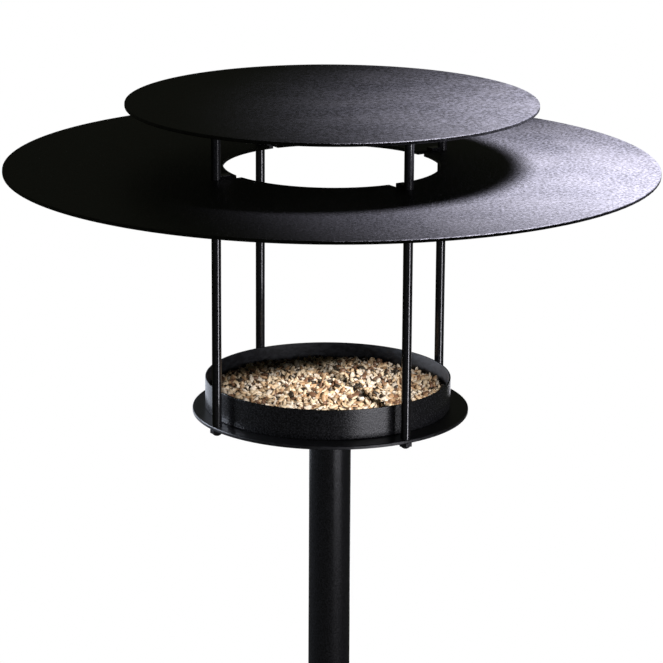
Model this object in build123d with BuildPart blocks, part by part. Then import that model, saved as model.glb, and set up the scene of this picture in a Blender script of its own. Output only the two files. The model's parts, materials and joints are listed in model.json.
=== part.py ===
"""Bird feeder on a pole: two flat steel roof discs and a seed tray on four slim rods.

Millimetres, +Z up, -Y is the front. The origin is on the pole's axis at ground level, where
the foot plate's underside meets the soil and the spike goes down from it.
"""
from build123d import *
import os
from math import cos, radians, sin

# ---- driving dimensions -----------------------------------------------------------------
# pole
pole_d = 36.0
pole_wall = 2.0
lower_pole_top = 600.0
upper_pole_length = 598.0
# ground end
foot_plate_d = 100.0
foot_plate_t = 4.0
spike_d = 16.0
spike_length = 300.0
spike_point = 40.0
spike_tenon_d = 12.0
spike_tenon_h = 44.0
spike_plug_h = 60.0
# joint between the two pole sections
joiner_length = 160.0
joiner_wall = 2.5
# bush and spigot under the head
bush_flange_t = 2.0
bush_length = 56.0
bush_wall = 1.5
spigot_length = 60.0
spigot_chamfer = 2.0
# head
plate_t = 3.0
edge_r = 0.6
base_plate_margin = 4.6
lower_roof_d = 550.0
upper_roof_d = 346.0
roof_hole_d = 182.6
roof_height = 211.0
roof_gap = 53.5
# rods
rod_d = 8.0
rod_circle_d = 226.8
rod_angle = 33.2
rod_tenon_d = 6.0
tenon_in_nut = 3.0
boss_d = 14.0
boss_h = 8.0
tenon_in_boss = 6.0
# lugs that carry the lower roof
slot_clearance = 0.2
lug_depth = 13.4
lug_tongue_w = 7.2
lug_proud = 3.0
ledge_w = 12.0
ledge_t = 2.5
ledge_depth = 12.0
lug_edge_r = 0.5
# tray and seed
tray_clearance = 4.4
tray_h = 26.0
tray_wall = 1.5
tray_foot_r = 1.2
tray_rim_r = 0.5
tray_rod_gap = 0.5
tray_shift_angle = 124.5
seed_below_rim = 13.5
seed_crown = 4.5
# fasteners
cap_nut_flats = 10.0
cap_nut_hex_h = 3.0
cap_nut_dome_h = 2.6
screw_d = 5.0
csk_head_d = 9.6
csk_length = 14.0
spigot_screw_circle_d = 17.0
spigot_screws = 3
hex_key_flats = 3.0
hex_key_depth = 1.4
button_head_d = 9.5
button_head_h = 2.75
# clearances, all radial
running = 0.05
seated = 0.05
bolt_clearance = 0.25

# ---- worked out from the above ----------------------------------------------------------
rods = 4
hex_sides = 6
nut_turn = 180.0 / hex_sides
quarter_turn = 360.0 / rods
pole_r = pole_d / 2
bore_r = pole_r - pole_wall
spigot_r = bore_r - bush_wall - 2 * running
joiner_screw_z = lower_pole_top - joiner_length / 4
spike_screw_h = foot_plate_t + spike_plug_h / 2
spike_screw_depth = bore_r - spike_tenon_d / 2 - pole_wall
rod_r = rod_d / 2
rod_circle_r = rod_circle_d / 2
upper_pole_top = lower_pole_top + upper_pole_length
base_z = upper_pole_top + bush_flange_t
base_top = base_z + plate_t
lower_roof_top = base_top + roof_height
lower_roof_z = lower_roof_top - plate_t
upper_roof_top = lower_roof_top + roof_gap
upper_roof_z = upper_roof_top - plate_t
boss_z = upper_roof_z - boss_h
base_plate_r = rod_circle_r + base_plate_margin
tray_r = rod_circle_r - rod_r - tray_clearance
seed_r = tray_r - tray_wall - running
seed_shoulder = tray_h - seed_below_rim
csk_head_h = (csk_head_d - screw_d) / 2
joiner_r = bore_r - running
rod_names = ("back_right", "back_left", "front_left", "front_right")

os.makedirs("parts", exist_ok=True)


def export(piece, name):
    piece.part.label = name
    export_step(piece.part, f"parts/{name}.step")


def screw_circle(depth, z):
    """Circle for a screw hole in an upright plane at y = depth, behind the pole's axis."""
    with BuildSketch(Plane.XZ.offset(-depth)) as circle:
        with Locations((0, z)):
            Circle(screw_d / 2 + seated)
    return circle.sketch


def on_rod(index):
    """Plan position of one rod's centre on the rod circle."""
    angle = radians(rod_angle + quarter_turn * index)
    return rod_circle_r * cos(angle), rod_circle_r * sin(angle)


def round_rims(z_low, z_high, r, piece):
    """Break the outer edge of a disc of radius r on both faces."""
    rims = [
        e
        for e in piece.edges().filter_by(GeomType.CIRCLE)
        if abs(e.radius - r) < edge_r and z_low - edge_r < e.center().Z < z_high + edge_r
    ]
    fillet(rims, edge_r)


# ---- ground end -------------------------------------------------------------------------
with BuildPart() as ground_spike:
    with BuildSketch(Plane.XY.offset(-spike_length + spike_point)):
        Circle(spike_d / 2)
    extrude(amount=spike_length - spike_point)
    with BuildSketch():
        Circle(spike_tenon_d / 2)
    extrude(amount=spike_tenon_h)
    with BuildSketch(Plane.XZ) as point_profile:
        with BuildLine():
            Polyline(
                (0, -spike_length),
                (spike_d / 2, -spike_length + spike_point),
                (0, -spike_length + spike_point),
                close=True,
            )
        make_face()
    revolve(axis=Axis.Z)
export(ground_spike, "ground_spike")

with BuildPart() as foot_plate:
    with BuildSketch():
        Circle(foot_plate_d / 2)
        Circle(spike_tenon_d / 2 + seated, mode=Mode.SUBTRACT)
    extrude(amount=foot_plate_t)
    round_rims(0, foot_plate_t, foot_plate_d / 2, foot_plate)
export(foot_plate, "foot_plate")

with BuildPart() as spike_plug:
    with BuildSketch(Plane.XY.offset(foot_plate_t)):
        Circle(bore_r - seated)
        Circle(spike_tenon_d / 2 + seated, mode=Mode.SUBTRACT)
    extrude(amount=spike_plug_h)
    extrude(screw_circle(bore_r, spike_screw_h), amount=spike_screw_depth, mode=Mode.SUBTRACT)
export(spike_plug, "spike_plug")


# ---- pole -------------------------------------------------------------------------------
with BuildPart() as pole_lower:
    with BuildSketch(Plane.XY.offset(foot_plate_t)):
        Circle(pole_r)
        Circle(bore_r, mode=Mode.SUBTRACT)
    extrude(amount=lower_pole_top - foot_plate_t)
    for z in (spike_screw_h, joiner_screw_z):
        extrude(screw_circle(pole_r, z), amount=pole_wall * 2, mode=Mode.SUBTRACT)
export(pole_lower, "pole_lower")

with BuildPart() as pole_upper:
    with BuildSketch(Plane.XY.offset(lower_pole_top)):
        Circle(pole_r)
        Circle(bore_r, mode=Mode.SUBTRACT)
    extrude(amount=upper_pole_length)
export(pole_upper, "pole_upper")

with BuildPart() as pole_joiner:
    with BuildSketch(Plane.XY.offset(lower_pole_top - joiner_length / 2)):
        Circle(joiner_r)
        Circle(joiner_r - joiner_wall, mode=Mode.SUBTRACT)
    extrude(amount=joiner_length)
    joiner_ends = pole_joiner.edges().filter_by(GeomType.CIRCLE).group_by(SortBy.RADIUS)[-1]
    chamfer(joiner_ends, joiner_wall / 3)
    extrude(screw_circle(bore_r, joiner_screw_z), amount=joiner_wall * 2, mode=Mode.SUBTRACT)
export(pole_joiner, "pole_joiner")


def button_screw(name, z, length):
    """Button-head screw driven inwards through the back of the pole at height z."""
    seat = (0, pole_r, z)
    head_face = Plane(origin=(0, pole_r + button_head_h, z), x_dir=(1, 0, 0), z_dir=(0, 1, 0))
    with BuildPart() as screw:
        with BuildSketch(Plane(origin=seat, x_dir=(1, 0, 0), z_dir=(0, 0, 1))):
            with BuildLine():
                Line((0, 0), (button_head_d / 2, 0))
                TangentArc((0, button_head_h), (button_head_d / 2, 0), tangent=(1, 0))
                Line((0, button_head_h), (0, 0))
            make_face()
        revolve(axis=Axis(seat, (0, 1, 0)))
        with BuildSketch(Plane(origin=seat, x_dir=(1, 0, 0), z_dir=(0, -1, 0))):
            Circle(screw_d / 2)
        extrude(amount=length)
        with BuildSketch(head_face):
            RegularPolygon(hex_key_flats / 2, hex_sides, major_radius=False)
        extrude(amount=-hex_key_depth, mode=Mode.SUBTRACT)
    export(screw, name)


button_screw("spike_screw", spike_screw_h, pole_wall + spike_screw_depth - seated)
button_screw("joiner_screw", joiner_screw_z, pole_wall + joiner_wall)

# ---- bush and spigot --------------------------------------------------------------------
with BuildPart() as top_bush:
    with BuildSketch(Plane.XY.offset(upper_pole_top)):
        Circle(pole_r)
    extrude(amount=bush_flange_t)
    with BuildSketch(Plane.XY.offset(upper_pole_top - bush_length)):
        Circle(bore_r - running)
    extrude(amount=bush_length)
    with BuildSketch(Plane.XY.offset(upper_pole_top - bush_length)):
        Circle(spigot_r + running)
    extrude(amount=bush_length + bush_flange_t, mode=Mode.SUBTRACT)
export(top_bush, "top_bush")

with BuildPart() as head_spigot:
    with BuildSketch(Plane.XY.offset(base_z - spigot_length)):
        Circle(spigot_r)
    extrude(amount=spigot_length)
    chamfer(head_spigot.edges().group_by(Axis.Z)[0], spigot_chamfer)
    with BuildSketch(Plane.XY.offset(base_z)):
        with PolarLocations(spigot_screw_circle_d / 2, spigot_screws):
            Circle(screw_d / 2 + seated)
    extrude(amount=-csk_length, mode=Mode.SUBTRACT)
export(head_spigot, "head_spigot")

# ---- base plate -------------------------------------------------------------------------
with BuildPart() as base_plate:
    with BuildSketch(Plane.XY.offset(base_z)):
        Circle(base_plate_r)
        with PolarLocations(rod_circle_r, rods, start_angle=rod_angle):
            Circle(rod_tenon_d / 2 + bolt_clearance, mode=Mode.SUBTRACT)
        with PolarLocations(spigot_screw_circle_d / 2, spigot_screws):
            Circle(screw_d / 2 + bolt_clearance, mode=Mode.SUBTRACT)
    extrude(amount=plate_t)
    with Locations((0, 0, base_top)):
        with PolarLocations(spigot_screw_circle_d / 2, spigot_screws):
            CounterSinkHole(
                radius=screw_d / 2 + bolt_clearance,
                counter_sink_radius=csk_head_d / 2 + bolt_clearance,
                depth=plate_t,
                counter_sink_angle=90,
            )
    round_rims(base_z, base_top, base_plate_r, base_plate)
export(base_plate, "base_plate")

with BuildPart() as one_spigot_screw:
    with BuildSketch(Plane.XZ):
        with BuildLine():
            Polyline(
                (0, 0),
                (csk_head_d / 2, 0),
                (screw_d / 2, -csk_head_h),
                (screw_d / 2, -csk_length),
                (0, -csk_length),
                close=True,
            )
        make_face()
    revolve(axis=Axis.Z)
    with BuildSketch():
        RegularPolygon(hex_key_flats / 2, hex_sides, major_radius=False)
    extrude(amount=-hex_key_depth, mode=Mode.SUBTRACT)

with BuildPart() as spigot_screw_set:
    with Locations((0, 0, base_top)):
        with PolarLocations(spigot_screw_circle_d / 2, spigot_screws):
            add(one_spigot_screw.part)
export(spigot_screw_set, "spigot_screws")

# ---- rods, nuts and bosses --------------------------------------------------------------
for index, place in enumerate(rod_names):
    with BuildPart() as rod:
        with BuildSketch(Plane.XY.offset(base_top)):
            with Locations(on_rod(index)):
                Circle(rod_r)
        extrude(amount=boss_z - base_top)
        with BuildSketch(Plane.XY.offset(base_z - tenon_in_nut)):
            with Locations(on_rod(index)):
                Circle(rod_tenon_d / 2)
        extrude(amount=plate_t + tenon_in_nut)
        with BuildSketch(Plane.XY.offset(boss_z)):
            with Locations(on_rod(index)):
                Circle(rod_tenon_d / 2)
        extrude(amount=tenon_in_boss)
    export(rod, f"rod_{place}")

with BuildPart() as one_cap_nut:
    with BuildSketch():
        RegularPolygon(cap_nut_flats / 2, hex_sides, major_radius=False, rotation=nut_turn)
    extrude(amount=-cap_nut_hex_h)
    with BuildSketch(Plane.XZ):
        with BuildLine():
            dome_r = cap_nut_flats / 2 - edge_r
            dome_z = -cap_nut_hex_h - cap_nut_dome_h
            Line((0, -cap_nut_hex_h), (dome_r, -cap_nut_hex_h))
            TangentArc((0, dome_z), (dome_r, -cap_nut_hex_h), tangent=(1, 0))
            Line((0, dome_z), (0, -cap_nut_hex_h))
        make_face()
    revolve(axis=Axis.Z)
    with BuildSketch():
        Circle(rod_tenon_d / 2 + seated)
    extrude(amount=-tenon_in_nut - seated, mode=Mode.SUBTRACT)

with BuildPart() as cap_nuts:
    with Locations((0, 0, base_z)):
        with PolarLocations(rod_circle_r, rods, start_angle=rod_angle):
            add(one_cap_nut.part)
export(cap_nuts, "cap_nuts")

with BuildPart() as roof_bosses:
    with BuildSketch(Plane.XY.offset(boss_z)):
        with PolarLocations(rod_circle_r, rods, start_angle=rod_angle):
            Circle(boss_d / 2)
    extrude(amount=boss_h)
    with BuildSketch(Plane.XY.offset(boss_z)):
        with PolarLocations(rod_circle_r, rods, start_angle=rod_angle):
            Circle(rod_tenon_d / 2 + seated)
    extrude(amount=tenon_in_boss + seated, mode=Mode.SUBTRACT)
export(roof_bosses, "roof_bosses")

# ---- roofs ------------------------------------------------------------------------------
with BuildPart() as upper_roof:
    with BuildSketch(Plane.XY.offset(upper_roof_z)):
        Circle(upper_roof_d / 2)
    extrude(amount=plate_t)
    round_rims(upper_roof_z, upper_roof_top, upper_roof_d / 2, upper_roof)
export(upper_roof, "upper_roof")

slot_w = rod_d + 2 * slot_clearance
with BuildPart() as lower_roof:
    with BuildSketch(Plane.XY.offset(lower_roof_z)):
        Circle(lower_roof_d / 2)
        Circle(roof_hole_d / 2, mode=Mode.SUBTRACT)
        with PolarLocations(rod_circle_r, rods, start_angle=rod_angle):
            Circle(slot_w / 2, mode=Mode.SUBTRACT)
        with PolarLocations(rod_circle_r / 2, rods, start_angle=rod_angle):
            Rectangle(rod_circle_r, slot_w, mode=Mode.SUBTRACT)
    extrude(amount=plate_t)
    round_rims(lower_roof_z, lower_roof_top, lower_roof_d / 2, lower_roof)
export(lower_roof, "lower_roof")

# ---- lugs: a ledge under the lower roof and a tongue that stands up through its slot -----
for index, place in enumerate(rod_names):
    turned = rod_angle + quarter_turn * index
    across = Plane.XY.offset(lower_roof_z).rotated((0, 0, turned))
    with BuildPart() as lug:
        with BuildSketch(across):
            with Locations((rod_circle_r - ledge_depth / 2, 0)):
                RectangleRounded(ledge_depth, ledge_w, lug_edge_r)
        extrude(amount=-ledge_t)
        with BuildSketch(across):
            with Locations((rod_circle_r - lug_depth / 2, 0)):
                Rectangle(lug_depth, lug_tongue_w)
        extrude(amount=plate_t + lug_proud)
        fillet(lug.edges().group_by(Axis.Z)[-1], lug_edge_r)
        with BuildSketch(across.offset(-ledge_t)):
            with Locations((rod_circle_r, 0)):
                Circle(rod_r + seated)
        extrude(amount=ledge_t + plate_t + lug_proud, mode=Mode.SUBTRACT)
    export(lug, f"roof_lug_{place}")

# ---- tray and seed ----------------------------------------------------------------------
tray_shift = tray_clearance - tray_rod_gap
tray_x = tray_shift * cos(radians(tray_shift_angle))
tray_y = tray_shift * sin(radians(tray_shift_angle))
tray_axis = Axis((tray_x, tray_y, 0), (0, 0, 1))
tray_plane = Plane(origin=(tray_x, tray_y, base_top), x_dir=(1, 0, 0), z_dir=(0, -1, 0))

with BuildPart() as tray:
    with BuildSketch(tray_plane):
        with BuildLine():
            Polyline(
                (0, 0),
                (tray_r, 0),
                (tray_r, tray_h),
                (tray_r - tray_wall, tray_h),
                (tray_r - tray_wall, tray_wall),
                (0, tray_wall),
                close=True,
            )
        make_face()
    revolve(axis=tray_axis)
    fillet(tray.edges().group_by(Axis.Z)[-1], tray_rim_r)
    fillet(tray.edges().group_by(Axis.Z)[0], tray_foot_r)
export(tray, "tray")

with BuildPart() as seed_bed:
    with BuildSketch(tray_plane):
        with BuildLine():
            seed_top = seed_shoulder + seed_crown
            Line((0, tray_wall), (seed_r, tray_wall))
            Line((seed_r, tray_wall), (seed_r, seed_shoulder))
            TangentArc((0, seed_top), (seed_r, seed_shoulder), tangent=(1, 0))
            Line((0, seed_top), (0, tray_wall))
        make_face()
    revolve(axis=tray_axis)
export(seed_bed, "seed_bed")
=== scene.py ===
"""Bird feeder on a pole: finishes, seed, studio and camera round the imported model.

Lengths are in metres and the ground is at z = 0.
"""

import json
import math
import random

import bmesh
import bpy
import numpy as np
from mathutils import Matrix, Vector

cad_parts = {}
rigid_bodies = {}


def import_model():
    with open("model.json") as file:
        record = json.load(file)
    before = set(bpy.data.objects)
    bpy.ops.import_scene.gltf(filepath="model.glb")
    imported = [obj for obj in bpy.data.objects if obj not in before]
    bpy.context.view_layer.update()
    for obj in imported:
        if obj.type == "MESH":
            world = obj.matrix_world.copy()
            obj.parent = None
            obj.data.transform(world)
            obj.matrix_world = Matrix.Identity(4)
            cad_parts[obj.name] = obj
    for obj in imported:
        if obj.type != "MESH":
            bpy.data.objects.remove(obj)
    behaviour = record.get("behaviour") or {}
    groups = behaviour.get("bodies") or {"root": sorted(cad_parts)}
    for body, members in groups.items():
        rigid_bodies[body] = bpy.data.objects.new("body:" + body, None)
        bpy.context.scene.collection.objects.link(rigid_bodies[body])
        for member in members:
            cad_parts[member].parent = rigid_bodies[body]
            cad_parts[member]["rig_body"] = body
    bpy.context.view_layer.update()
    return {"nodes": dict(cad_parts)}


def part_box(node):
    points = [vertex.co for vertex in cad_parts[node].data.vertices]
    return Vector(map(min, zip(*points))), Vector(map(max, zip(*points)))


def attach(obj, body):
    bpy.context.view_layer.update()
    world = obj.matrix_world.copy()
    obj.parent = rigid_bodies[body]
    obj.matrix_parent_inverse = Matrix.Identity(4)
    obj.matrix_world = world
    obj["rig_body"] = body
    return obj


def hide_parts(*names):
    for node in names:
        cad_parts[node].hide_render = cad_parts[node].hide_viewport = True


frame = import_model()
node = frame["nodes"]
mm = 0.001

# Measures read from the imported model.
lower_roof_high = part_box("lower_roof")[1]
upper_roof_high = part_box("upper_roof")[1]
base_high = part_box("base_plate")[1]
tray_low, tray_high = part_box("tray")
seed_low, seed_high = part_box("seed_bed")
roof_top = lower_roof_high.z
roof_reach = lower_roof_high.x
tray_middle = (tray_low + tray_high) / 2
tray_rim = tray_high.z
seed_reach = (seed_high.x - seed_low.x) / 2

# Seed: kernels in a shallow heap that stops short of the tray's rim.
seed_shuffle = 7
kernel_tries = 13000
bed_step = 1.5 * mm
edge_drop = 13.5 * mm
crown_rise = 4.5 * mm
bed_depth = 8.0 * mm

# Grain and wear of the black coats, and the painted light inside the tray.
peel_size = 3.2 * mm
patch_size = 55 * mm
dust_colour = (0.16, 0.155, 0.15)
# Painted light: the lighter grey blended in patches over the tray's inner walls.
inner_light_colour = (0.06, 0.064, 0.072)
soil_colour = (0.11, 0.075, 0.045)

# Studio: a round sheet of paper that fades out past its solid middle, and the lamps' colours.
floor_reach = 2.3
floor_solid = 0.9
paper = (0.86, 0.86, 0.86)
cool = (0.93, 0.92, 1.0)
bluish = (0.80, 0.86, 1.0)
violet = (0.86, 0.84, 1.0)
warm = (1.0, 0.97, 0.94)


class Value:
    """A shader output that takes part in ordinary sums."""

    def __init__(self, paint, output):
        self.paint = paint
        self.output = output

    def __add__(self, other):
        return self.paint.work("ADD", self, other)

    def __sub__(self, other):
        return self.paint.work("SUBTRACT", self, other)

    def __rsub__(self, other):
        return self.paint.work("SUBTRACT", other, self)

    def __mul__(self, other):
        return self.paint.work("MULTIPLY", self, other)

    def __pow__(self, other):
        return self.paint.work("POWER", self, other)

    __radd__ = __add__
    __rmul__ = __mul__


class Paint:
    """One node tree and the few ways this object's finishes are mixed."""

    def __init__(self, tree):
        self.tree = tree
        tree.nodes.clear()

    def node(self, kind, settings=None, sockets=None, out=0):
        made = self.tree.nodes.new(kind)
        for name, setting in (settings or {}).items():
            setattr(made, name, setting)
        for name, value in (sockets or {}).items():
            if isinstance(value, Value):
                self.tree.links.new(value.output, made.inputs[name])
            else:
                made.inputs[name].default_value = value
        return Value(self, made.outputs[out]) if made.outputs else made

    def work(self, operation, first, second):
        return self.node("ShaderNodeMath", {"operation": operation}, {0: first, 1: second})

    def place(self):
        return self.node("ShaderNodeTexCoord", out="Object")

    def stretched(self, place, scale):
        sockets = {0: place, 1: scale}
        return self.node("ShaderNodeVectorMath", {"operation": "MULTIPLY"}, sockets)

    def noise(self, place, size, detail=2.0, rough=0.5):
        """Grain with lumps about `size` metres across, from 0 to 1 round 0.5."""
        sockets = {"Vector": place, "Scale": 1 / size, "Detail": detail, "Roughness": rough}
        return self.node("ShaderNodeTexNoise", {}, sockets)

    def ramp(self, value, start, end, low=0.0, high=1.0):
        """Eases from low to high as the value goes from start to end."""
        settings = {"interpolation_type": "SMOOTHSTEP"}
        sockets = {"Value": value, 1: start, 2: end, 3: low, 4: high}
        return self.node("ShaderNodeMapRange", settings, sockets)

    def blend(self, amount, first, second):
        settings = {"data_type": "RGBA"}
        return self.node("ShaderNodeMix", settings, {0: amount, 6: first, 7: second}, out=2)

    def tinted(self, amount, first, second):
        settings = {"data_type": "RGBA", "blend_type": "MULTIPLY"}
        return self.node("ShaderNodeMix", settings, {0: amount, 6: first, 7: second}, out=2)

    def part_of(self, place, axis):
        return self.node("ShaderNodeSeparateXYZ", {}, {0: place}, out=axis)

    def facing_up(self):
        normal = self.node("ShaderNodeNewGeometry", out="Normal")
        return self.part_of(normal, "Z")

    def radius(self, place, middle=(0.0, 0.0)):
        across = self.part_of(place, "X") - middle[0]
        along = self.part_of(place, "Y") - middle[1]
        return (across * across + along * along) ** 0.5

    def bump(self, height, depth, strength=1.0, under=None):
        sockets = {"Height": height, "Distance": depth, "Strength": strength}
        if under is not None:
            sockets["Normal"] = under
        return self.node("ShaderNodeBump", {}, sockets)

    def show(self, sockets):
        shader = self.node("ShaderNodeBsdfPrincipled", {}, sockets)
        self.node("ShaderNodeOutputMaterial", {}, {"Surface": shader})


def finish_named(name):
    made = bpy.data.materials.new(name)
    made.use_nodes = True
    return made, Paint(made.node_tree)


def rgba(colour):
    return (*colour, 1.0)


def lighter(colour, times):
    return tuple(channel * times for channel in colour)


def powder_coat(name, colour, roughness, speck, relief, rim=None, hollow=None, soil=0.0):
    """Black powder coat: orange-peel and specks, with thin dust on the faces that look up.

    `rim` is the radius of an edge that is rubbed by handling. `hollow` is a middle and a
    radius: inside it, the coat is painted a lighter, patchy grey as painted light on the
    tray's inner walls. `soil` is the height that splashes reach.
    """
    made, paint = finish_named(name)
    place = paint.place()
    fine = paint.noise(place, speck, detail=3.0, rough=0.65)
    peel = paint.noise(place, peel_size, detail=2.0)
    patches = paint.noise(place, patch_size, detail=3.0)
    up = paint.ramp(paint.facing_up(), 0.6, 0.95)
    dust = up * paint.ramp(patches + fine * 0.5, 0.5, 1.1)
    specks = paint.ramp(fine, 0.36, 0.66)
    base = paint.blend(specks, rgba(lighter(colour, 0.3)), rgba(lighter(colour, 2.2)))
    base = paint.blend(dust * 0.08, base, rgba(dust_colour))
    shine = roughness + (fine - 0.5) * 0.25 + (patches - 0.5) * 0.01 + dust * 0.01
    if rim is not None:
        worn = paint.ramp(paint.radius(place), rim - 1.6 * mm, rim - 0.2 * mm)
        worn = worn * paint.ramp(paint.noise(place, 9 * mm, detail=4.0), 0.46, 0.62)
        base = paint.blend(worn * 0.5, base, rgba(lighter(colour, 3.4)))
    if hollow is not None:
        middle, reach = hollow
        inside = paint.ramp(paint.radius(place, middle), reach + 0.4 * mm, reach + 0.1 * mm)
        flattened = paint.stretched(place, (1.0, 1.0, 2.2))
        inner_light_patches = paint.ramp(paint.noise(flattened, 7 * mm, detail=5.0), 0.42, 0.6)
        # Painted light: the inner walls are blended towards a lighter grey in patches.
        base = paint.blend(inside * (inner_light_patches * 0.4 + 0.1), base, rgba(inner_light_colour))
        shine = shine + inside * 0.16
    if soil:
        height = paint.part_of(place, "Z")
        splash = paint.ramp(height + (patches - 0.5) * 0.12, soil, 0.0)
        splash = splash * paint.ramp(paint.noise(place, 5 * mm, detail=5.0), 0.5, 0.66)
        base = paint.blend(splash * 0.75, base, rgba(soil_colour))
        shine = shine + splash * 0.3
    normal = paint.bump(peel, 0.06 * mm, 0.5)
    normal = paint.bump(fine, relief, 1.0, under=normal)
    paint.show({"Base Color": base, "Roughness": shine, "Normal": normal, "IOR": 1.5})
    return made


def turned_metal(name, colour, roughness, ring):
    """Plated steel off the lathe: fine rings up its height, dull patches and a little staining."""
    made, paint = finish_named(name)
    place = paint.place()
    rings = paint.noise(paint.stretched(place, (0.02, 0.02, 1.0)), ring, detail=4.0, rough=0.7)
    patches = paint.noise(place, 9 * mm, detail=4.0)
    stain = paint.ramp(paint.noise(place, 2.5 * mm, detail=5.0), 0.56, 0.7)
    base = paint.blend(patches, rgba(lighter(colour, 0.78)), rgba(lighter(colour, 1.08)))
    base = paint.blend(stain * 0.35, base, rgba((0.24, 0.2, 0.17)))
    shine = roughness + (rings - 0.5) * 0.2 + stain * 0.2
    normal = paint.bump(rings, 0.04 * mm, 0.6)
    paint.show({"Base Color": base, "Metallic": 1.0, "Roughness": shine, "Normal": normal})
    return made


def moulded_nylon(name, colour):
    made, paint = finish_named(name)
    place = paint.place()
    flow = paint.noise(paint.stretched(place, (1.0, 1.0, 0.25)), 6 * mm, detail=3.0)
    grain = paint.noise(place, 0.4 * mm, detail=2.0)
    base = paint.blend(flow, rgba(lighter(colour, 0.75)), rgba(lighter(colour, 1.3)))
    shine = 0.42 + (flow - 0.5) * 0.15 + (grain - 0.5) * 0.1
    normal = paint.bump(grain, 0.03 * mm, 0.6)
    paint.show({"Base Color": base, "Roughness": shine, "Normal": normal})
    return made


def kernel_skin():
    """Husked kernels: each kernel's own colour, with faint streaks, oil and chalky grain."""
    made, paint = finish_named("seed kernels")
    place = paint.place()
    own = paint.node("ShaderNodeAttribute", {"attribute_name": "own_colour"}, out="Color")
    streaks = paint.noise(place, 1.1 * mm, detail=4.0, rough=0.6)
    chalk = paint.noise(place, 0.35 * mm, detail=2.0)
    mottle = paint.ramp(streaks, 0.4, 0.68)
    husk = paint.blend(mottle, rgba((0.52, 0.4, 0.3)), rgba((1.0, 1.0, 1.0)))
    shaded = paint.tinted(0.55, own, husk)
    shine = 0.46 + (chalk - 0.5) * 0.3
    normal = paint.bump(streaks, 0.25 * mm, 0.7)
    paint.show({"Base Color": shaded, "Roughness": shine, "Normal": normal})
    return made


def seed_meal_and_gap_shade():
    """Meal, dust and husk under the kernels, dark partly as painted shade in the gaps between
    kernels.
    """
    made, paint = finish_named("seed meal and gap shade")
    place = paint.place()
    crumbs = paint.noise(place, 1.6 * mm, detail=5.0, rough=0.65)
    flour = paint.ramp(crumbs, 0.42, 0.66)
    base = paint.blend(flour, rgba((0.03, 0.018, 0.01)), rgba((0.22, 0.13, 0.065)))
    shine = 0.8 + (crumbs - 0.5) * 0.2
    normal = paint.bump(crumbs, 0.8 * mm)
    paint.show({"Base Color": base, "Roughness": shine, "Normal": normal})
    return made


def dress(material, *names):
    for name in names:
        slots = node[name].material_slots
        if not slots:
            node[name].data.materials.append(material)
        for place in slots:
            place.material = material


def new_piece(name, mesh, material):
    piece = bpy.data.objects.new(name, mesh)
    piece.data.materials.append(material)
    bpy.context.scene.collection.objects.link(piece)
    return piece


# Kernel shapes: how common, half lengths along, across and through before the random size
# (in millimetres), how much the far end tapers, how lumpy, and how far the ends curl up.
kernel_kinds = [
    {"share": 0.34, "half": (4.9, 2.3, 1.6), "taper": 0.62, "lumps": 0.12, "bend": 0.4},
    {"share": 0.24, "half": (4.0, 3.0, 2.1), "taper": 0.1, "lumps": 0.42, "bend": 0.7},
    {"share": 0.26, "half": (4.2, 2.4, 0.9), "taper": 0.2, "lumps": 0.22, "bend": 2.0},
    {"share": 0.16, "half": (2.5, 1.7, 1.4), "taper": 0.3, "lumps": 0.25, "bend": 0.2},
]
# Kernel colours, from bare kernel to dark husk, each with how common it is.
kernel_colours = [
    (0.24, (0.92, 0.84, 0.72)),
    (0.22, (0.88, 0.74, 0.54)),
    (0.16, (0.74, 0.56, 0.36)),
    (0.15, (0.50, 0.32, 0.18)),
    (0.13, (0.22, 0.12, 0.07)),
    (0.10, (0.05, 0.04, 0.03)),
]


def pebble():
    """A round starting shape: corner positions and three-cornered faces."""
    ball = bmesh.new()
    bmesh.ops.create_icosphere(ball, subdivisions=2, radius=1.0)
    corners = np.array([corner.co[:] for corner in ball.verts])
    faces = np.array([[corner.index for corner in face.verts] for face in ball.faces])
    ball.free()
    return corners, faces


def surface_level(away):
    """Height of the seed's surface at a distance from the tray's middle."""
    return tray_rim - edge_drop + crown_rise * (1 - (away / seed_reach) ** 2)


def picked(rows, chance):
    """The row that a number from 0 to 1 falls on, by the rows' shares."""
    for share, row in rows:
        chance -= share
        if chance < 0:
            return row
    return rows[-1][1]


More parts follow.
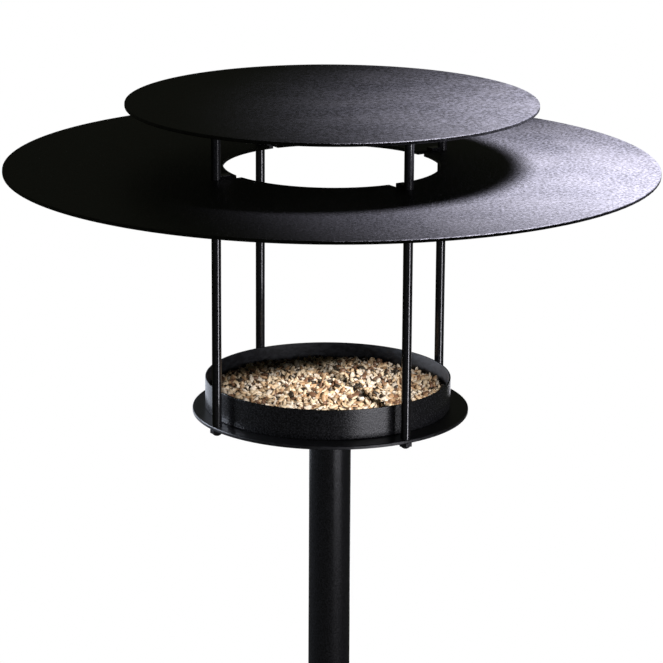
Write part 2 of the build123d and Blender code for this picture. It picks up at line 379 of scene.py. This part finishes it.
def heap_kernels():
    """Drops kernels one by one on a height map until the heap is full. Returns one mesh."""
    luck = random.Random(seed_shuffle)
    ragged = np.random.default_rng(seed_shuffle)
    ball, faces = pebble()
    count = int(2 * seed_reach / bed_step) + 1
    line = (np.arange(count) - (count - 1) / 2) * bed_step
    grid_x, grid_y = np.meshgrid(line, line, indexing="ij")
    away = np.hypot(grid_x, grid_y)
    level = surface_level(away)
    heap = level - bed_depth
    kinds = [(kind["share"], kind) for kind in kernel_kinds]
    all_corners = []
    all_colours = []
    for _ in range(kernel_tries):
        kind = picked(kinds, luck.random())
        size = luck.uniform(0.68, 0.98) * mm
        along, across, through = (half * size for half in kind["half"])
        turn = luck.uniform(0, math.tau)
        spot = luck.random() ** 0.5 * (seed_reach - along * 0.9)
        x = spot * math.cos(turn)
        y = spot * math.sin(turn)
        heading = luck.uniform(0, math.tau)
        right = (grid_x - x) * math.cos(heading) + (grid_y - y) * math.sin(heading)
        ahead = (grid_y - y) * math.cos(heading) - (grid_x - x) * math.sin(heading)
        under = (right / along) ** 2 + (ahead / across) ** 2 < 1
        if not under.any():
            continue
        rest = np.percentile(heap[under], 70)
        height = rest + through * 0.75
        if height > level[under].mean() + luck.uniform(-3.4, 1.8) * mm:
            continue
        slope_x = np.polyfit(right[under], heap[under], 1)[0] if under.sum() > 3 else 0.0
        pitch = max(-0.6, min(0.6, math.atan(slope_x))) + luck.gauss(0, 0.38)
        roll = luck.gauss(0, 0.6)
        shape = ball * (1 + ragged.normal(0, kind["lumps"] * 0.35, ball.shape))
        narrow = 1 - kind["taper"] * np.clip((shape[:, :1] + 0.2) / 1.2, 0, 1) ** 1.6
        shape = np.concatenate([shape[:, :1], shape[:, 1:] * narrow], axis=1)
        shape = shape * (along, across, through)
        shape[:, 2] += kind["bend"] * through * ((shape[:, 0] / along) ** 2 - 0.4)
        pose = (
            Matrix.Translation((x, y, height))
            @ Matrix.Rotation(heading, 4, "Z")
            @ Matrix.Rotation(-pitch, 4, "Y")
            @ Matrix.Rotation(roll, 4, "X")
        )
        turned = np.array(pose.to_3x3())
        all_corners.append(shape @ turned.T + np.array(pose.translation))
        heap[under] = np.maximum(heap[under], height + through * 0.6)
        colour = picked(kernel_colours, luck.random())
        light = luck.uniform(0.72, 1.08)
        all_colours.append([channel * light for channel in colour])
    total = len(all_corners)
    corners = np.concatenate(all_corners) + (tray_middle.x, tray_middle.y, 0)
    step = len(ball)
    joined = np.concatenate([faces + step * index for index in range(total)])
    mesh = bpy.data.meshes.new("seed_kernels")
    mesh.from_pydata(corners.tolist(), [], joined.tolist())
    mesh.shade_smooth()
    own = mesh.color_attributes.new("own_colour", "FLOAT_COLOR", "POINT")
    colours = np.repeat(np.array(all_colours), step, axis=0)
    own.data.foreach_set("color", np.column_stack([colours, np.ones(len(colours))]).ravel())
    print("kernels in the heap:", total)
    return mesh


def meal_bed():
    """Packed meal under the kernels: a lumpy top on a skirt down to the tray's floor."""
    luck = np.random.default_rng(seed_shuffle + 1)
    bed = bmesh.new()
    rings = 34
    spokes = 96
    middle = Vector((tray_middle.x, tray_middle.y, 0))
    rows = []
    for ring in range(1, rings + 1):
        away = seed_reach * ring / rings
        row = []
        for spoke in range(spokes):
            turn = math.tau * spoke / spokes
            height = surface_level(away) - bed_depth + luck.normal(0, 0.35) * mm
            spot = middle + Vector((away * math.cos(turn), away * math.sin(turn), height))
            row.append(bed.verts.new(spot))
        rows.append(row)
    skirt = [bed.verts.new((corner.co.x, corner.co.y, seed_low.z)) for corner in rows[-1]]
    rows.append(skirt)
    crown = bed.verts.new(middle + Vector((0, 0, surface_level(0) - bed_depth)))
    sole = bed.verts.new(middle + Vector((0, 0, seed_low.z)))
    for spoke in range(spokes):
        after = (spoke + 1) % spokes
        bed.faces.new((crown, rows[0][spoke], rows[0][after]))
        bed.faces.new((sole, skirt[after], skirt[spoke]))
        for inner, outer in zip(rows, rows[1:]):
            bed.faces.new((inner[spoke], outer[spoke], outer[after], inner[after]))
    mesh = bpy.data.meshes.new("seed_meal_and_gap_shade")
    bed.to_mesh(mesh)
    bed.free()
    mesh.shade_smooth()
    return mesh


def aim(thing, target):
    """Turns a camera or lamp towards a point."""
    away = Vector(target) - thing.location
    thing.rotation_mode = "QUATERNION"
    thing.rotation_quaternion = away.to_track_quat("-Z", "Y")


# The camera, straight in front of the feeder and looking down on its roofs.
pitch = math.radians(15.342)
yaw = math.radians(0.163)
roll = math.radians(0.351)
eye_aside = -0.00636
eye_in_front = 2.44551
eye_over_roof = 0.52439
eye = Vector((eye_aside, -eye_in_front, roof_top + eye_over_roof))
level_ahead = Vector((math.sin(yaw), math.cos(yaw), 0))
ahead = level_ahead * math.cos(pitch) - Vector((0, 0, math.sin(pitch)))
level_right = Vector((math.cos(yaw), -math.sin(yaw), 0))
level_up = level_right.cross(ahead)
right = level_right * math.cos(roll) + level_up * math.sin(roll)
up = level_up * math.cos(roll) - level_right * math.sin(roll)
lens = bpy.data.cameras.new("camera")
lens.lens = 161.75
lens.sensor_width = 36
lens.shift_y = 0.00165
camera = bpy.data.objects.new("camera", lens)
bpy.context.scene.collection.objects.link(camera)
camera.matrix_world = Matrix(
    (
        (right.x, up.x, -ahead.x, eye.x),
        (right.y, up.y, -ahead.y, eye.y),
        (right.z, up.z, -ahead.z, eye.z),
        (0, 0, 0, 1),
    )
)
bpy.context.scene.camera = camera

# Finishes.
black = (0.012, 0.012, 0.0135)
frame_black = lighter(black, 0.8)
pole_black = lighter(black, 0.7)
roof_speck = 2.6 * mm
roof_relief = 0.6 * mm
roof_coat = powder_coat("roof coat", black, 0.46, roof_speck, roof_relief, rim=roof_reach)
cap_coat = powder_coat(
    "upper roof coat", black, 0.46, roof_speck, roof_relief, rim=upper_roof_high.x
)
frame_coat = powder_coat("frame coat", frame_black, 0.13, 0.7 * mm, 0.02 * mm)
plate_coat = powder_coat(
    "base plate coat", frame_black, 0.34, 0.8 * mm, 0.06 * mm, rim=base_high.x
)
# The tray's inner walls get painted light, a lighter patchy grey.
tray_hollow = (tray_middle[:2], seed_reach)
tray_coat = powder_coat(
    "tray coat", frame_black, 0.25, 1.2 * mm, 0.10 * mm, hollow=tray_hollow
)
pole_coat = powder_coat("pole coat", pole_black, 0.22, 0.7 * mm, 0.04 * mm, soil=0.16)
nut_coat = powder_coat("nut coat", frame_black, 0.26, 0.5 * mm, 0.03 * mm)
screw_steel = turned_metal("screw steel", (0.55, 0.55, 0.56), 0.32, 0.25 * mm)
turned_steel = turned_metal("galvanised steel", (0.5, 0.5, 0.5), 0.5, 0.5 * mm)
bush_nylon = moulded_nylon("black nylon", (0.04, 0.04, 0.042))
slim_parts = [name for name in node if name.startswith(("rod_", "roof_lug_"))]
dress(roof_coat, "lower_roof")
dress(cap_coat, "upper_roof")
dress(frame_coat, "roof_bosses", *slim_parts)
dress(plate_coat, "base_plate")
dress(tray_coat, "tray")
dress(pole_coat, "pole_lower", "pole_upper", "foot_plate")
dress(nut_coat, "cap_nuts", "spike_screw", "joiner_screw")
dress(screw_steel, "spigot_screws")
dress(turned_steel, "head_spigot", "pole_joiner", "spike_plug", "ground_spike")
dress(bush_nylon, "top_bush")

# Seed in the tray.
kernels = new_piece("seed_kernels", heap_kernels(), kernel_skin())
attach(kernels, "tray")
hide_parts("seed_bed")
# The meal's dark colour is partly painted shade for the gaps between the kernels.
meal = new_piece("seed_meal_and_gap_shade", meal_bed(), seed_meal_and_gap_shade())
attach(meal, "tray")


# Studio.
def softbox(name, at, target, width, height, power, colour):
    light = bpy.data.lights.new(name, "AREA")
    light.shape = "RECTANGLE"
    light.size = width
    light.size_y = height
    light.energy = power
    light.color = colour
    lamp = bpy.data.objects.new(name, light)
    bpy.context.scene.collection.objects.link(lamp)
    lamp.location = at
    aim(lamp, target)
    lamp.visible_camera = False
    return lamp


def spotlight(name, at, target, across, radius, power, colour):
    """A lamp whose pool of light reaches `across` metres from its target, fading all the way."""
    light = bpy.data.lights.new(name, "SPOT")
    light.spot_size = 2 * math.atan(across / (Vector(target) - Vector(at)).length)
    light.spot_blend = 1.0
    light.shadow_soft_size = radius
    light.energy = power
    light.color = colour
    lamp = bpy.data.objects.new(name, light)
    bpy.context.scene.collection.objects.link(lamp)
    lamp.location = at
    aim(lamp, target)
    return lamp


def keep_to(lamp, *pieces):
    """Flags a lamp off everything but these pieces."""
    reached = bpy.data.collections.new("reached by the " + lamp.name)
    for piece in pieces:
        reached.objects.link(piece)
    lamp.light_linking.receiver_collection = reached


def round_the_feeder(side, distance, height):
    """A point at an angle to the right of the feeder's front."""
    turn = math.radians(side)
    return Vector((distance * math.sin(turn), -distance * math.cos(turn), height))


roof_spot = Vector((0.31, -0.035, roof_top))
over_roofs = (0.295, -0.01, roof_top + 0.55)
roof_lamp = spotlight(
    "lower roof light",
    at=over_roofs,
    target=roof_spot,
    across=0.335,
    radius=0.135,
    power=400,
    colour=violet,
)
cap_lamp = spotlight(
    "upper roof light",
    at=over_roofs,
    target=roof_spot,
    across=0.35,
    radius=0.135,
    power=290,
    colour=violet,
)
front_lamp = softbox(
    "front softbox",
    at=round_the_feeder(side=43, distance=1.6, height=1.2),
    target=round_the_feeder(side=43, distance=0, height=1.2),
    width=1.15,
    height=0.84,
    power=19,
    colour=cool,
)
rod_lamp = softbox(
    "rod light",
    at=round_the_feeder(side=46, distance=1.6, height=1.15),
    target=round_the_feeder(side=46, distance=0, height=1.15),
    width=0.3,
    height=1.0,
    power=17,
    colour=cool,
)
seed_lamp = spotlight(
    "seed light",
    at=round_the_feeder(side=25, distance=1.3, height=2.012),
    target=(tray_middle.x + 0.012, tray_middle.y - 0.018, tray_rim),
    across=0.092,
    radius=0.06,
    power=285,
    colour=warm,
)
left_lamp = softbox(
    "left light",
    at=round_the_feeder(side=-108, distance=1.3, height=1.33),
    target=(tray_middle.x, tray_middle.y, tray_rim),
    width=0.9,
    height=0.14,
    power=22,
    colour=bluish,
)
back_lamp = softbox(
    "back left light",
    at=round_the_feeder(side=-146, distance=1.5, height=1.18),
    target=round_the_feeder(side=-146, distance=0, height=1.18),
    width=1.3,
    height=0.94,
    power=4.6,
    colour=bluish,
)
softbox(
    "back fill",
    at=round_the_feeder(side=172, distance=1.8, height=0.6),
    target=round_the_feeder(side=172, distance=0, height=1.0),
    width=0.9,
    height=0.5,
    power=2,
    colour=cool,
)

floor_mesh = bmesh.new()
bmesh.ops.create_circle(floor_mesh, cap_ends=True, segments=128, radius=floor_reach)
floor_data = bpy.data.meshes.new("floor")
floor_mesh.to_mesh(floor_data)
floor_mesh.free()
floor_finish, floor_paint = finish_named("paper floor")
floor_place = floor_paint.place()
fade = floor_paint.ramp(floor_paint.radius(floor_place), floor_solid, floor_reach - 0.1)
tooth = floor_paint.noise(floor_place, 4 * mm, detail=3.0)
sheet = floor_paint.node(
    "ShaderNodeBsdfPrincipled",
    {},
    {
        "Base Color": floor_paint.blend(tooth, rgba(lighter(paper, 0.98)), rgba(paper)),
        "Roughness": 0.9,
        "Normal": floor_paint.bump(tooth, 0.1 * mm, 0.2),
    },
)
glow = floor_paint.node("ShaderNodeBsdfTranslucent", {}, {"Color": rgba(paper)})
lit_sheet = floor_paint.node("ShaderNodeMixShader", {}, {0: 0.5, 1: sheet, 2: glow})
clear = floor_paint.node("ShaderNodeBsdfTransparent")
faded = floor_paint.node("ShaderNodeMixShader", {}, {0: fade, 1: lit_sheet, 2: clear})
floor_paint.node("ShaderNodeOutputMaterial", {}, {"Surface": faded})
floor = new_piece("floor", floor_data, floor_finish)
floor.visible_diffuse = False
floor.visible_glossy = False

floor_lamp = softbox(
    "floor light",
    at=(0, 0, 3.4),
    target=(0, 0, 0),
    width=3.2,
    height=3.2,
    power=330,
    colour=(1, 1, 1),
)

# Which pieces each lamp reaches.
roofs = (node["lower_roof"], node["upper_roof"])
rods = [piece for name, piece in node.items() if name.startswith("rod_")]
lugs = [piece for name, piece in node.items() if name.startswith("roof_lug_")]
head = [piece for piece in node.values() if piece["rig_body"] == "head"]
below_roofs = [piece for piece in node.values() if piece not in roofs]
side_lit = [piece for piece in below_roofs if piece not in rods and piece not in lugs]
keep_to(floor_lamp, floor)
keep_to(seed_lamp, kernels, meal)
keep_to(roof_lamp, *[piece for piece in head if piece is not node["upper_roof"]])
keep_to(cap_lamp, node["upper_roof"])
keep_to(front_lamp, *[piece for piece in below_roofs if piece not in rods])
keep_to(rod_lamp, *rods)
rod_lamp.light_linking.blocker_collection = rod_lamp.light_linking.receiver_collection
keep_to(left_lamp, *side_lit)
keep_to(back_lamp, *side_lit)

# White all round for the camera, and a dim room for everything else.
world = bpy.data.worlds.new("studio")
bpy.context.scene.world = world
world.use_nodes = True
sky = Paint(world.node_tree)
room = sky.node("ShaderNodeBackground", {}, {"Color": rgba((0.95, 1.0, 0.76)), "Strength": 0.03})
backdrop = sky.node("ShaderNodeBackground", {}, {"Color": rgba((1.0, 1.0, 1.0)), "Strength": 1.0})
seen = sky.node("ShaderNodeLightPath", out="Is Camera Ray")
both = sky.node("ShaderNodeMixShader", {}, {0: seen, 1: room, 2: backdrop})
sky.node("ShaderNodeOutputWorld", {}, {"Surface": both})
bpy.context.scene.view_settings.view_transform = "Standard"
